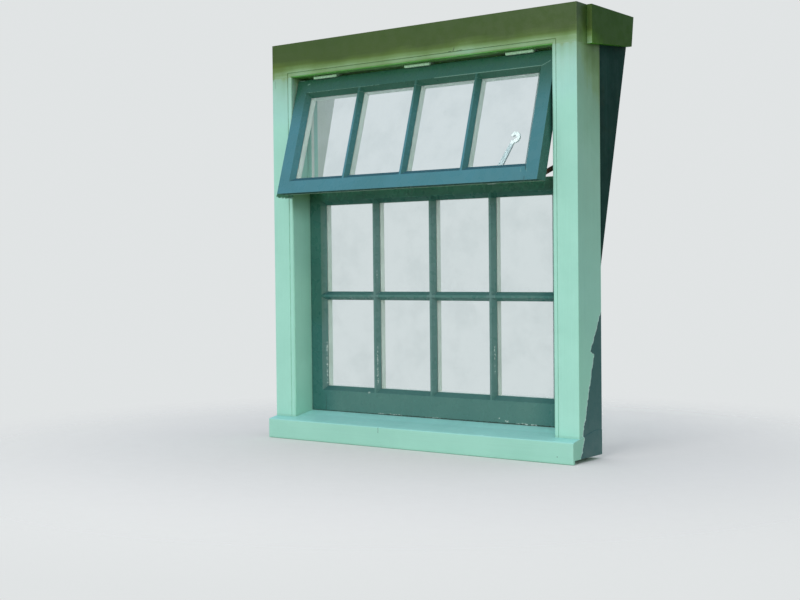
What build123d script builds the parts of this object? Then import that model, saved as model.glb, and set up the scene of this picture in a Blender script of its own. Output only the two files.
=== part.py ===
from build123d import *
import os
from math import atan2, cos, degrees, hypot, radians, sin, tan

# A painted timber window in a deep box frame, with cheeks behind the jambs that
# grow deeper towards the top. The lower sash is fixed. The upper sash hangs on
# three butt hinges under the head and stands open at the bottom. X runs along
# the window, Y from the front of the jambs towards the room, Z up. The origin is
# on the sill's bed, its flat underside, in the middle and in line with the jambs.
# All sizes are in millimetres and degrees.

# Frame
frame_width = 980
jamb_face = 70
jamb_depth = 114
head_height = 95
frame_arris = 1.5

# Bead run round the inner front edge of the jambs and head
bead_width = 12
bead_round = 5.5
quirk_width = 1.5
quirk_depth = 2

# Sill
sill_projection = 32
sill_front_height = 44
sill_slope = 10
sill_horn = 1
sill_nose_round = 4
sill_lip_thickness = 9
sill_lip_drop = 10
sill_lip_round = 3

# Both sashes
pane_columns = 4
sash_thickness = 38
bar_width = 24
bar_nose = 6
edge_putty = 12
glass_thickness = 3
glass_depth = 13
glass_hold = 5
room_round = 6

# Lower sash, fixed
lower_rows = 2
lower_stile = 51
lower_bottom_rail = 71
lower_pane_height = 244.5
lower_top_rail = 45
lower_fit = 0.5
lower_back_inset = 1

# Upper sash, top-hung
upper_rows = 1
upper_stile = 48
upper_top_rail = 51
upper_pane_height = 238
upper_bottom_rail = 47
upper_edge_rise = 9
upper_fit = 3
sash_gap = 6
sash_lap = 29
open_angle = 17

# Butt hinges
hinge_inset = 102
hinge_length = 80
leaf_depth = 26
leaf_thickness = 2
knuckle_radius = 4.5
knuckle_count = 5
knuckle_gap = 0.4
knuckle_below_soffit = 0.3
knuckle_before_sash = 0.7
hinge_pin_radius = 2
hinge_pin_fit = 0.15
hinge_pin_end = 1
sash_leaf_drop = 1.6

# Closing stops behind the upper sash
stop_width = 14
stop_thickness = 12
stop_gap = 1

# Stay that holds the sash open at the right
stay_width = 12
stay_thickness = 3
stay_pin_radius = 3
stay_pin_fit = 0.2
stay_above_edge = 32
stay_foot_before_lower = 25
stay_foot_above_lower = 24
stay_from_jamb = 16
bracket_length = 34
bracket_width = 16
bracket_thickness = 2.5
bracket_reach = 13

# Catch on the room side of the upper sash, its lever turned up
catch_from_end = 154.5
catch_plate_width = 24
catch_plate_height = 32
catch_plate_thickness = 2.5
catch_boss_radius = 8
catch_boss_height = 3
catch_lever_thickness = 6
catch_lever_width = 17
catch_reach = 116
catch_lean = 23
catch_tail_radius = 10
catch_tail_width = 9
catch_tail_end = 158

# Cheeks and returns. The cheeks' back edge leans away from the jambs.
cheek_back_foot = 2.7
cheek_back_lean = 14.4
cheek_thickness = 18
cheek_inset = 4
return_thickness = 15
return_front = 49
return_back = 260
return_back_lean = 8.3
return_rise = 5

# Places that follow from the sizes above
half_frame = frame_width / 2
half_opening = half_frame - jamb_face
lower_front = jamb_depth - lower_back_inset - sash_thickness
seat_height = sill_front_height + (sill_projection + lower_front) * tan(radians(sill_slope))
lower_width = 2 * (half_opening - lower_fit)
lower_height = (lower_bottom_rail + lower_rows * lower_pane_height
                + (lower_rows - 1) * bar_width + lower_top_rail)
lower_top = seat_height + lower_height
upper_width = 2 * (half_opening - upper_fit)
upper_height = (upper_top_rail + upper_rows * upper_pane_height
                + (upper_rows - 1) * bar_width + upper_bottom_rail)
upper_back = lower_front - sash_gap
upper_recess = upper_back - sash_thickness
upper_bottom = lower_top - sash_lap
upper_top = upper_bottom + upper_height
pin_y = upper_recess - knuckle_before_sash - knuckle_radius
pin_z = upper_top + sash_leaf_drop
soffit_height = pin_z + knuckle_radius + knuckle_below_soffit
frame_top = soffit_height + head_height
hinge_spacing = upper_width / 2 - hinge_inset
stay_foot_y = lower_front - stay_foot_before_lower
stay_foot_z = lower_top + stay_foot_above_lower
putty_width = (bar_width - bar_nose) / 2
lean = tan(radians(cheek_back_lean))
swing = Pos(0, pin_y, pin_z) * Rot(-open_angle, 0, 0) * Pos(0, -pin_y, -pin_z)

pieces = {}


def block(x0, x1, y0, y1, z0, z1):
    """A box between two corners."""
    middle = Pos((x0 + x1) / 2, (y0 + y1) / 2, (z0 + z1) / 2)
    return middle * Box(x1 - x0, y1 - y0, z1 - z0)


def rod(x0, x1, y, z, radius):
    """A round bar along X."""
    return Pos((x0 + x1) / 2, y, z) * Rot(0, 90, 0) * Cylinder(radius, x1 - x0)


def side_plate(points, x0, x1):
    """A piece whose side outline is given as Y and Z, between two X values."""
    outline = Plane.YZ * make_face(Polyline(*points, close=True))
    return Pos(x0, 0, 0) * extrude(outline, x1 - x0)


def keep_pair(name, right):
    """Keeps a piece of the right side and its mirror image on the left."""
    pieces["right_" + name] = right
    pieces["left_" + name] = mirror(right, Plane.YZ)


def cheek_back(z):
    """Where the leaning back edge of a cheek is at a height."""
    return cheek_back_foot + z * lean


# Frame

def bead_groove():
    """What the moulding plane takes off round the opening, mitred in the corners.

    The bead has a wide round on the edge and a small one beside the quirk.
    """
    side = bead_round + quirk_width
    place = (bead_round - quirk_width) / 2
    taken = Pos(place, place) * Rectangle(side, side)
    taken -= Pos(bead_round, bead_round) * Circle(bead_round)
    side = quirk_depth + quirk_width
    shoulder = bead_width - quirk_depth
    quirk = Pos(shoulder + side / 2, quirk_depth - side / 2) * Rectangle(side, side)
    taken += quirk - Pos(shoulder, quirk_depth) * Circle(quirk_depth)
    path = Polyline((-half_opening, 0, 0), (-half_opening, 0, soffit_height),
                    (half_opening, 0, soffit_height), (half_opening, 0, 0))
    start = Plane((-half_opening, 0, 0), x_dir=(-1, 0, 0), z_dir=(0, 0, -1))
    return sweep(start * taken, path=path, transition=Transition.RIGHT)


def jamb(groove):
    """A post of the frame, its foot cut to the slope and seat of the sill."""
    foot = sill_front_height + sill_projection * tan(radians(sill_slope))
    outline = [(0, foot), (lower_front, seat_height), (jamb_depth, seat_height),
               (jamb_depth, soffit_height), (0, soffit_height)]
    post = side_plate(outline, half_opening, half_frame)
    outer_edge = post.edges().filter_by(Axis.Z).group_by(Axis.Y)[0].sort_by(Axis.X)[-1]
    return fillet(outer_edge, frame_arris) - groove


def head(groove):
    """The beam over the jambs, flush with their outer faces."""
    beam = block(-half_frame, half_frame, 0, jamb_depth, soffit_height, frame_top)
    ends = beam.edges().filter_by(Axis.Z).group_by(Axis.Y)[0]
    return fillet(ends, frame_arris) - groove


def sill():
    """A sloped board with a level seat for the sash and a lip that hangs at its front."""
    nose = -sill_projection
    lip_back = nose + sill_lip_thickness
    outline = [(jamb_depth, 0), (lip_back, 0), (lip_back, -sill_lip_drop), (nose, -sill_lip_drop),
               (nose, sill_front_height), (lower_front, seat_height), (jamb_depth, seat_height)]
    board = side_plate(outline, -half_frame - sill_horn, half_frame + sill_horn)
    lip_edge, nose_edge = board.edges().filter_by(Axis.X).group_by(Axis.Y)[0].sort_by(Axis.Z)
    board = fillet(nose_edge, sill_nose_round)
    lip_edge = board.edges().filter_by(Axis.X).group_by(Axis.Z)[0].sort_by(Axis.Y)[0]
    return fillet(lip_edge, sill_lip_round)


def cheek():
    """The board that closes the side of the box, with a leaning back edge."""
    foot = (jamb_depth - cheek_back_foot) / lean
    outline = [(jamb_depth, foot), (cheek_back(frame_top), frame_top), (jamb_depth, frame_top)]
    outer = half_frame - cheek_inset
    return side_plate(outline, outer - cheek_thickness, outer)


def side_return():
    """The short board beside the head, which rises a little towards its back."""
    back_z = soffit_height + (return_back - return_front) * tan(radians(return_rise))
    top_y = return_back + (frame_top - back_z) * tan(radians(return_back_lean))
    outline = [(return_front, soffit_height), (return_back, back_z), (top_y, frame_top),
               (return_front, frame_top)]
    return side_plate(outline, half_frame, half_frame + return_thickness)


def stops():
    """Battens on the jambs and head that the upper sash closes against."""
    front = upper_back + stop_gap
    inner = half_opening - stop_width
    back = front + stop_thickness
    keep_pair("stop", block(inner, half_opening, front, back, lower_top + stop_gap, soffit_height))
    pieces["head_stop"] = block(-inner, inner, front, back, soffit_height - stop_width, soffit_height)


# Sashes

def putty_front(pane_width, pane_height, left, right, low, high):
    """The outline of an opening at the front, where the putty is widest."""
    wide = pane_width + left + right
    tall = pane_height + low + high
    return Plane.XZ * Pos((right - left) / 2, (high - low) / 2) * Rectangle(wide, tall)


def sash(width, stile, bottom_rail, pane_height, top_rail, rows, edge_rise=0):
    """The members and panes of a sash, its lower front edge along the X axis.

    Each opening has painted putty in front of the glass, a groove that holds
    the glass and a rounded edge on the room side. The joined shape is made
    first and then divided into its members, so the mouldings meet in mitres.
    The underside can rise towards the room, so that water drips off in front.
    """
    pane_width = (width - 2 * stile - (pane_columns - 1) * bar_width) / pane_columns
    height = bottom_rail + rows * pane_height + (rows - 1) * bar_width + top_rail
    sight = Pos(0, glass_depth, 0) * (Plane.XZ * Rectangle(pane_width, pane_height))
    glass_back = glass_depth + glass_thickness
    pane = Pos(0, (glass_depth + glass_back) / 2, 0) * Box(
        pane_width + 2 * glass_hold, glass_thickness, pane_height + 2 * glass_hold)
    behind = Pos(0, (glass_back + sash_thickness) / 2, 0) * Box(
        pane_width, sash_thickness - glass_back, pane_height)
    joined = block(-width / 2, width / 2, 0, sash_thickness, 0, height)
    if edge_rise:
        joined -= side_plate([(0, 0), (sash_thickness, edge_rise), (sash_thickness, 0)],
                             -width / 2, width / 2)
    columns = [-width / 2 + stile + pane_width / 2 + i * (pane_width + bar_width)
               for i in range(pane_columns)]
    levels = [bottom_rail + pane_height / 2 + i * (pane_height + bar_width) for i in range(rows)]
    for i, x in enumerate(columns):
        for j, z in enumerate(levels):
            front = putty_front(pane_width, pane_height,
                                putty_width if i else edge_putty,
                                putty_width if i < pane_columns - 1 else edge_putty,
                                putty_width if j else edge_putty,
                                putty_width if j < rows - 1 else edge_putty)
            putty = loft([front.face(), sight.face()], ruled=True)
            joined -= Pos(x, 0, z) * (putty + pane + behind)
    room_edges = [edge for edge in joined.edges().group_by(Axis.Y)[-1]
                  if edge.length < pane_width + pane_height and edge.length < height - 1
                  and abs(edge.center().X) < width / 2 - 1]
    joined = fillet(room_edges, room_round)

    inner = width / 2 - stile
    top = height - top_rail
    members = {
        "left_stile": block(-width / 2, -inner, 0, sash_thickness, 0, height),
        "right_stile": block(inner, width / 2, 0, sash_thickness, 0, height),
        "bottom_rail": block(-inner, inner, 0, sash_thickness, 0, bottom_rail),
        "top_rail": block(-inner, inner, 0, sash_thickness, top, height),
    }
    for i, (left, right) in enumerate(zip(columns, columns[1:])):
        edge = left + pane_width / 2
        members[f"bar_{i + 1}"] = block(edge, edge + bar_width, 0, sash_thickness, bottom_rail, top)
    made = {name: joined & region for name, region in members.items()}
    for i, level in enumerate(levels[:-1]):
        low = level + pane_height / 2
        crossing = [joined & block(x - pane_width / 2, x + pane_width / 2, 0, sash_thickness,
                                   low, low + bar_width) for x in columns]
        made["cross_bar"] = Compound(children=[piece.solid() for piece in crossing])
    for row, z in enumerate(levels):
        panes = [(Pos(x, 0, z) * pane).solid() for x in columns]
        made[f"panes_{row + 1}"] = Compound(children=panes)
    return made


# Hinges

def knuckles(x, parity):
    """Every second knuckle of a hinge, as X ranges."""
    length = hinge_length / knuckle_count
    start = x - hinge_length / 2
    gap = knuckle_gap / 2
    return [(start + i * length + (gap if i else 0),
             start + (i + 1) * length - (gap if i < knuckle_count - 1 else 0))
            for i in range(knuckle_count) if i % 2 == parity]


def leaf(x, parity, low):
    """A hinge leaf in the closed position: a plate with its rolled knuckles."""
    clear = pin_y + knuckle_radius + knuckle_gap
    plate = block(x - hinge_length / 2, x + hinge_length / 2, clear, pin_y + leaf_depth,
                  low, low + leaf_thickness)
    for x0, x1 in knuckles(x, parity):
        plate += rod(x0, x1, pin_y, pin_z, knuckle_radius)
        plate += block(x0, x1, pin_y, clear, low, low + leaf_thickness)
    return plate - rod(x - hinge_length, x + hinge_length, pin_y, pin_z,
                       hinge_pin_radius + hinge_pin_fit)


def hinges():
    """Three butt hinges, their knuckles showing in front of the sash's top edge."""
    for name, x in {"left": -hinge_spacing, "middle": 0, "right": hinge_spacing}.items():
        end = hinge_length / 2 + hinge_pin_end
        pieces[name + "_hinge_frame_leaf"] = leaf(x, 0, soffit_height - leaf_thickness)
        pieces[name + "_hinge_sash_leaf"] = swing * leaf(x, 1, upper_top)
        pieces[name + "_hinge_pin"] = rod(x - end, x + end, pin_y, pin_z, hinge_pin_radius)


# Stay

def stay():
    """A flat arm between a bracket on the sash and a bracket on the right jamb."""
    arm_x = half_opening - stay_from_jamb
    sash_pin_y = upper_back + bracket_reach - stay_width / 2
    sash_pin_z = upper_bottom + stay_above_edge
    turned = swing * Pos(0, sash_pin_y, sash_pin_z)
    start = turned.position
    run_y = stay_foot_y - start.Y
    run_z = stay_foot_z - start.Z
    length = hypot(run_y, run_z)
    angle = degrees(atan2(run_z, run_y))
    flat = Rectangle(length, stay_width) + [Pos(side * length / 2, 0) * Circle(stay_width / 2)
                                            for side in (-1, 1)]
    for side in (-1, 1):
        flat -= Pos(side * length / 2, 0) * Circle(stay_pin_radius + stay_pin_fit)
    arm = extrude(Plane.YZ * Rot(0, 0, angle) * flat, stay_thickness)
    pieces["stay_arm"] = Pos(arm_x, (start.Y + stay_foot_y) / 2, (start.Z + stay_foot_z) / 2) * arm

    ear_x = arm_x - stay_pin_fit
    low = sash_pin_z - bracket_length / 2
    plate = block(ear_x - bracket_width, ear_x, upper_back, upper_back + bracket_thickness,
                  low, low + bracket_length)
    ear = block(ear_x - bracket_thickness, ear_x, upper_back, upper_back + bracket_reach,
                sash_pin_z - stay_width / 2, sash_pin_z + stay_width / 2)
    pin = rod(ear_x - bracket_thickness, arm_x + stay_thickness + stay_pin_fit,
              sash_pin_y, sash_pin_z, stay_pin_radius)
    pieces["stay_sash_bracket"] = swing * (plate + ear + pin)

    plate = block(half_opening - bracket_thickness, half_opening,
                  stay_foot_y - bracket_width / 2, stay_foot_y + bracket_width / 2,
                  stay_foot_z - bracket_length / 2, stay_foot_z + bracket_length / 2)
    shoulder = rod(arm_x + stay_thickness + stay_pin_fit, half_opening,
                   stay_foot_y, stay_foot_z, stay_width / 2)
    pin = rod(arm_x - stay_thickness, half_opening, stay_foot_y, stay_foot_z, stay_pin_radius)
    pieces["stay_jamb_bracket"] = plate + shoulder + pin


# Catch

def catch():
    """A plate on the bottom rail and a tapered lever that ends in a curled tail."""
    x = upper_width / 2 - catch_from_end
    z = upper_bottom + (upper_bottom_rail - room_round + upper_edge_rise) / 2
    plate_face = upper_back + catch_plate_thickness
    lever_face = plate_face + catch_boss_height
    plate = block(x - catch_plate_width / 2, x + catch_plate_width / 2, upper_back, plate_face,
                  z - catch_plate_height / 2, z + catch_plate_height / 2)
    boss = extrude(Plane.XZ * Circle(catch_boss_radius), -catch_boss_height)
    pieces["catch_plate"] = swing * (plate + Pos(x, plate_face, z) * boss)

    half_tail = catch_tail_width / 2
    outer = catch_tail_radius + half_tail
    ring = Circle(outer) - Circle(catch_tail_radius - half_tail)
    far = 2 * outer
    end = radians(catch_tail_end)
    middle = (end + radians(270)) / 2
    gap = make_face(Polyline((0, 0), (far * cos(end), far * sin(end)),
                             (2 * far * cos(middle), 2 * far * sin(middle)), (0, -far), close=True))
    tip = Pos(catch_tail_radius * cos(end), catch_tail_radius * sin(end)) * Circle(half_tail)
    neck = catch_reach - catch_tail_radius
    stem = make_face(Polyline((-catch_lever_width / 2, 0), (catch_lever_width / 2, 0),
                              (half_tail, neck), (-half_tail, neck), close=True))
    flat = stem + Circle(catch_lever_width / 2) + Pos(0, catch_reach) * (ring - gap + tip)
    lever = extrude(Plane.XZ * Rot(0, 0, -catch_lean) * flat, -catch_lever_thickness)
    pieces["catch_lever"] = swing * Pos(x, lever_face, z) * lever


groove = bead_groove()
pieces["head"] = head(groove)
pieces["sill"] = sill()
keep_pair("jamb", jamb(groove))
keep_pair("cheek", cheek())
keep_pair("return", side_return())
stops()
for name, piece in sash(lower_width, lower_stile, lower_bottom_rail, lower_pane_height,
                        lower_top_rail, lower_rows).items():
    pieces["lower_" + name] = Pos(0, lower_front, seat_height) * piece
for name, piece in sash(upper_width, upper_stile, upper_bottom_rail, upper_pane_height,
                        upper_top_rail, upper_rows, upper_edge_rise).items():
    pieces["upper_" + name] = swing * Pos(0, upper_recess, upper_bottom) * piece
hinges()
stay()
catch()

os.makedirs("parts", exist_ok=True)
for name, piece in pieces.items():
    export_step(piece, f"parts/{name}.step")
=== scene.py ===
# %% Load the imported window
import bmesh
import bpy
from math import asin, cos, pi, radians, sin
from mathutils import Matrix, Vector


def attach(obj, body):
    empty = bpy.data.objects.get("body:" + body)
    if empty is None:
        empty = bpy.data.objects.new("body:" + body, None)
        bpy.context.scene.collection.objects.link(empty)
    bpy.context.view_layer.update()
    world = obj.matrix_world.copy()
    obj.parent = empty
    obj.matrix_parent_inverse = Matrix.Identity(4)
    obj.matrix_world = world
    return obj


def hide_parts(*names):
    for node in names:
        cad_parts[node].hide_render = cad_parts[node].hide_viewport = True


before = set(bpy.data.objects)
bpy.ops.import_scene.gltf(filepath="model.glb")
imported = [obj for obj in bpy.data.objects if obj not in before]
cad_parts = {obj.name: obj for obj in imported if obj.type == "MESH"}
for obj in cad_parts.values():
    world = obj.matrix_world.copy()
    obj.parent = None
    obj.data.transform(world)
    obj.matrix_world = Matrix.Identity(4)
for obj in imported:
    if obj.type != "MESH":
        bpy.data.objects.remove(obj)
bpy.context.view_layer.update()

# %% [markdown]
# # A painted top-hung window
#
# The frame stands in for a joiner's finished window, in metres, with X along the window,
# Y from the front of the jambs towards the room and Z up. The lesson softens the arrises
# of its timber, paints it, glazes it and sets it in front of a camera.
#
# The places below are the joiner's own: where the hinge pins lie, how far the upper sash
# is open, and how deep the glass sits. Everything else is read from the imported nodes.

# %% The joiner's places
MM = 0.001
PIN_LINE = Vector((0, 25.8 * MM, 1000.467 * MM))
OPEN_ANGLE = radians(17)
LOWER_FRONT = 75 * MM
UPPER_FRONT = 31 * MM
GLASS_BACK = 16 * MM
JAMB_DEPTH = 114 * MM

unturned = Matrix.Identity(4)
opened = (Matrix.Translation(PIN_LINE) @ Matrix.Rotation(-OPEN_ANGLE, 4, "X")
          @ Matrix.Translation(-PIN_LINE))
closing = opened.inverted()
print("a point on the closed sash's lower edge opens to",
      opened @ Vector((0, UPPER_FRONT, 662.867 * MM)))

# %% [markdown]
# ## Softened timber
#
# Planed and painted timber has no knife edge: the joiner takes each arris off with a stroke
# of sandpaper, and the paint rounds it further. An edge like that could be shaded with a
# rounded normal, but a real bevel also catches the light in the outline. So each node is
# copied, its loose triangles are merged into whole faces, and its sharp edges are bevelled.
# Where two members meet, the two bevels leave the fine joint line that shows in the paint.

# %% Copy a node and soften it
WELD = 0.001 * MM
FLAT = radians(0.5)
SHARP = radians(30)


def merged_copy(node):
    """A bmesh of a node with whole faces instead of loose triangles."""
    shape = bmesh.new()
    shape.from_mesh(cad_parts[node].data)
    bmesh.ops.remove_doubles(shape, verts=shape.verts, dist=WELD)
    bmesh.ops.dissolve_limit(shape, angle_limit=FLAT, verts=shape.verts, edges=shape.edges,
                             use_dissolve_boundaries=False)
    return shape


def soften(shape, width, segments=2):
    """Bevels every sharp edge."""
    sharp = [edge for edge in shape.edges
             if len(edge.link_faces) == 2 and edge.calc_face_angle() > SHARP]
    bmesh.ops.bevel(shape, geom=sharp, offset=width, offset_type="OFFSET", segments=segments,
                    profile=0.5, affect="EDGES", clamp_overlap=True, material=-1)


print("edges are bevelled where they turn by more than", SHARP, "radians")

# %% [markdown]
# A softened copy then takes the node's place: it rides on the window's one body and replaces
# its node. Where a member is green outside and white towards the room, a rule picks the
# finish of each face.

# %% Put the copy in the node's place
def finish_piece(name, shape, finishes, slot, stands_for=()):
    """Makes the bmesh an object that rides on the window and may stand for some nodes."""
    mesh = bpy.data.meshes.new(name)
    shape.to_mesh(mesh)
    shape.free()
    mesh.shade_smooth()
    mesh.set_sharp_from_angle(angle=radians(50))
    piece = bpy.data.objects.new(name, mesh)
    bpy.context.scene.collection.objects.link(piece)
    for finish in finishes:
        mesh.materials.append(finish)
    weighted = piece.modifiers.new("flat faces stay flat", "WEIGHTED_NORMAL")
    weighted.keep_sharp = True
    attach(piece, "root")
    if stands_for:
        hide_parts(*stands_for)
    return piece


def paint_faces(shape, choose):
    """Sets each face's finish by a rule on its middle and its normal."""
    for face in shape.faces:
        face.material_index = choose(face.calc_center_median(), face.normal)


def dress(node, kind, edge, finishes, slot, rule=None, segments=2):
    """Puts a softened copy of a node in its place, painted by a rule if it has two finishes."""
    shape = merged_copy(node)
    soften(shape, edge, segments)
    if rule:
        paint_faces(shape, rule)
    return finish_piece(f"{kind}_{node}", shape, finishes, slot, [node])


print("helpers for the timber are ready")

# %% [markdown]
# ## A short way to write shader nodes
#
# A finish is a small net of nodes. Written out, each node takes four or five lines, so these
# helpers make a node, set or link its inputs and hand back the output that is used next.

# %% Make and link a node
def put(tree, kind, **inputs):
    """A shader node, its inputs set to a value or linked to another node's output."""
    made = tree.nodes.new("ShaderNode" + kind)
    for name, value in inputs.items():
        plug(tree, made.inputs[name.replace("_", " ")], value)
    return made


def plug(tree, socket, value):
    """Sets a socket, or links it when the value is an output."""
    if isinstance(value, bpy.types.NodeSocket):
        tree.links.new(value, socket)
    else:
        socket.default_value = value


print("nodes can be made and linked")

# %% [markdown]
# Most of a finish is arithmetic on the shaded point: on single numbers, such as a height or
# a mask between 0 and 1, and on vectors, such as a place or the way that a face looks.
# Blender has a node for each of the two, and the operation is one of its settings.

# %% Calculate with nodes
def calc(tree, operation, *values):
    """One step of arithmetic."""
    made = tree.nodes.new("ShaderNodeMath")
    made.operation = operation
    for socket, value in zip(made.inputs, values):
        plug(tree, socket, value)
    return made.outputs["Value"]


def times(tree, first, *others):
    """Several values multiplied together."""
    for value in others:
        first = calc(tree, "MULTIPLY", first, value)
    return first


def move(tree, operation, *values, out="Vector"):
    """One step of arithmetic on a place."""
    made = tree.nodes.new("ShaderNodeVectorMath")
    made.operation = operation
    for socket, value in zip(made.inputs, values):
        plug(tree, socket, value)
    return made.outputs[out]


def scaled(tree, vector, factor):
    """A place or a direction times one number."""
    made = put(tree, "VectorMath")
    made.operation = "SCALE"
    plug(tree, made.inputs[0], vector)
    plug(tree, made.inputs["Scale"], factor)
    return made.outputs["Vector"]


def split(tree, vector):
    """The X, Y and Z of a place or a direction."""
    return put(tree, "SeparateXYZ", Vector=vector).outputs


print("nodes can calculate")

# %% [markdown]
# Paint goes on in coats, and its colours do so here. A mask between 0 and 1 says where a
# coat lies. It comes from a smooth fade between two values, or from noise. The coat either
# covers what lies under it, or tints it, which is a multiplication of the two colours.

# %% Fade, scatter and lay over
def fade(tree, value, low, high, start=0.0, end=1.0):
    """Goes smoothly from start to end while the value goes from low to high."""
    made = put(tree, "MapRange", Value=value, From_Min=low, From_Max=high, To_Min=start,
               To_Max=end)
    made.interpolation_type = "SMOOTHSTEP"
    return made.outputs["Result"]


def cloud(tree, place, scale, detail=2.0, roughness=0.5):
    """A soft random pattern between 0 and 1, about one blotch for each 1/scale metres."""
    made = put(tree, "TexNoise", Vector=place, Scale=scale, Detail=detail, Roughness=roughness)
    return made.outputs[0]


COVER, TINT = "MIX", "MULTIPLY"


def over(tree, mask, below, above, mode=COVER):
    """The colour above laid over the colour below, or multiplied into it, where the mask is 1."""
    made = tree.nodes.new("ShaderNodeMix")
    made.data_type = "RGBA"
    made.blend_type = mode
    for index, value in ((0, mask), (6, below), (7, above)):
        plug(tree, made.inputs[index], value)
    return made.outputs[2]


def layered(tree, colour, *layers):
    """A colour with several layers over it: each has a mask, a colour and a mode."""
    for mask, above, mode in layers:
        colour = over(tree, mask, colour, above, mode)
    return colour


def paint_of(red, green, blue):
    """A colour as four numbers, the last for no transparency."""
    return (red, green, blue, 1.0)


print("a coat covers with", COVER, "and tints with", TINT)

# %% [markdown]
# What several finishes share, such as the marks of a brush, is built once as a node group.
# Each finish then gives it its own values, such as the way in which the brush went.

# %% Build and use node groups
def start_group(name, inputs, outputs):
    """An empty node group with named inputs and outputs."""
    tree = bpy.data.node_groups.new(name, "ShaderNodeTree")
    for label, kind, value in inputs:
        socket = tree.interface.new_socket(label, in_out="INPUT", socket_type=kind)
        socket.default_value = value
    for label, kind in outputs:
        tree.interface.new_socket(label, in_out="OUTPUT", socket_type=kind)
    return tree, tree.nodes.new("NodeGroupInput").outputs, tree.nodes.new("NodeGroupOutput").inputs


def place_group(tree, group, **inputs):
    """A group placed in a material with its own values."""
    made = tree.nodes.new("ShaderNodeGroup")
    made.node_tree = group
    for name, value in inputs.items():
        plug(tree, made.inputs[name.replace("_", " ")], value)
    return made.outputs


FLOAT, VECTOR = "NodeSocketFloat", "NodeSocketVector"
print("group inputs are", FLOAT, "or", VECTOR)

# %% [markdown]
# ## Brush marks
#
# Gloss paint that is put on with a brush dries with fine ridges along the stroke, over a
# slow unevenness of the film. Stretched noise gives both: the grain input says how many
# ridges there are in each metre along X, Y and Z, few along the stroke and many across it.

# %% Build the brush marks
SWELLS_PER_METRE = 38.0
PATCHES_PER_METRE = 7.0
SWELL_HEIGHT = 2.2
RIDGE_TONE = 0.35

brush_group, given, made = start_group(
    "brush marks",
    [("Vector", VECTOR, (0, 0, 0)), ("Grain", VECTOR, (6, 420, 420))],
    [("Height", FLOAT), ("Tone", FLOAT), ("Gloss", FLOAT)])
along = move(brush_group, "MULTIPLY", given["Vector"], given["Grain"])
ridges = cloud(brush_group, along, 1.0, 3.0, 0.6)
swell = cloud(brush_group, given["Vector"], SWELLS_PER_METRE)
patches = cloud(brush_group, given["Vector"], PATCHES_PER_METRE, 4.0, 0.6)
tone = calc(brush_group, "MULTIPLY_ADD", ridges, RIDGE_TONE,
            calc(brush_group, "MULTIPLY", patches, 1 - RIDGE_TONE))
plug(brush_group, made["Height"],
     calc(brush_group, "MULTIPLY_ADD", swell, SWELL_HEIGHT, ridges))
plug(brush_group, made["Tone"], fade(brush_group, tone, 0.35, 0.65))
plug(brush_group, made["Gloss"], fade(brush_group, swell, 0.3, 0.7))
print("brush marks:", len(brush_group.nodes), "nodes")

# %% [markdown]
# ## Edge wear
#
# Paint thins and rubs through first on the arrises. Those can be found with pointiness,
# which needs many vertices, or by comparing the true normal with one that is rounded over
# a small radius. The second works on a plain mesh, so it is used here, broken up by noise.

# %% Build the edge wear
FLAT_AGREES = 0.995
ARRIS_AGREES = 0.90
SPECKLES_PER_METRE = 90.0
SPECKLE_SOFTNESS = 0.06

wear_group, given, made = start_group(
    "edge wear",
    [("Vector", VECTOR, (0, 0, 0)), ("Radius", FLOAT, 0.002), ("Patchiness", FLOAT, 0.5)],
    [("Edge", FLOAT)])
rounded = put(wear_group, "Bevel", Radius=given["Radius"])
rounded.samples = 4
true_normal = put(wear_group, "NewGeometry").outputs["Normal"]
agreement = move(wear_group, "DOT_PRODUCT", rounded.outputs["Normal"], true_normal, out="Value")
edge = fade(wear_group, agreement, FLAT_AGREES, ARRIS_AGREES)
speckle = cloud(wear_group, given["Vector"], SPECKLES_PER_METRE, 3.0, 0.65)
kept = fade(wear_group, calc(wear_group, "SUBTRACT", speckle, given["Patchiness"]),
            -SPECKLE_SOFTNESS, SPECKLE_SOFTNESS)
plug(wear_group, made["Edge"], times(wear_group, edge, kept))
print("edge wear:", len(wear_group.nodes), "nodes")

# %% [markdown]
# ## Dirt and shade in the corners
#
# Rain and the duster never reach the inner corners, so dust and a green bloom stay there.
# Ambient occlusion measures how enclosed a place is, which is where dirt gathers and also
# where shade falls, so this mask is both dirt and painted shade.

# %% Build the corner dirt and painted shade
OPEN_PLACE = 0.85
CORNER = 0.25
DIRT_AND_SHADE_BLOTCHES_PER_METRE = 55.0

dirt_and_shade_group, given, made = start_group(
    "corner dirt",
    [("Vector", VECTOR, (0, 0, 0)), ("Reach", FLOAT, 0.02), ("Amount", FLOAT, 0.6)],
    [("Dirt and shade", FLOAT)])
openness = put(dirt_and_shade_group, "AmbientOcclusion", Distance=given["Reach"])
openness.samples = 6
closed = fade(dirt_and_shade_group, openness.outputs["AO"], OPEN_PLACE, CORNER)
blotch = fade(dirt_and_shade_group, cloud(dirt_and_shade_group, given["Vector"], DIRT_AND_SHADE_BLOTCHES_PER_METRE, 4.0, 0.65),
              0.3, 0.65, 0.25)
plug(dirt_and_shade_group, made["Dirt and shade"], times(dirt_and_shade_group, closed, blotch, given["Amount"]))
print("corner dirt:", len(dirt_and_shade_group.nodes), "nodes")

# %% [markdown]
# ## A mark along a line
#
# A hair crack, a chip or a nail's stopping sits in one place. It could be cut into the mesh,
# but a third of a millimetre is finer than the timber's faces need to be. The group measures
# how far a point lies from a short line, with a little wander, and masks what is close.

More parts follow.
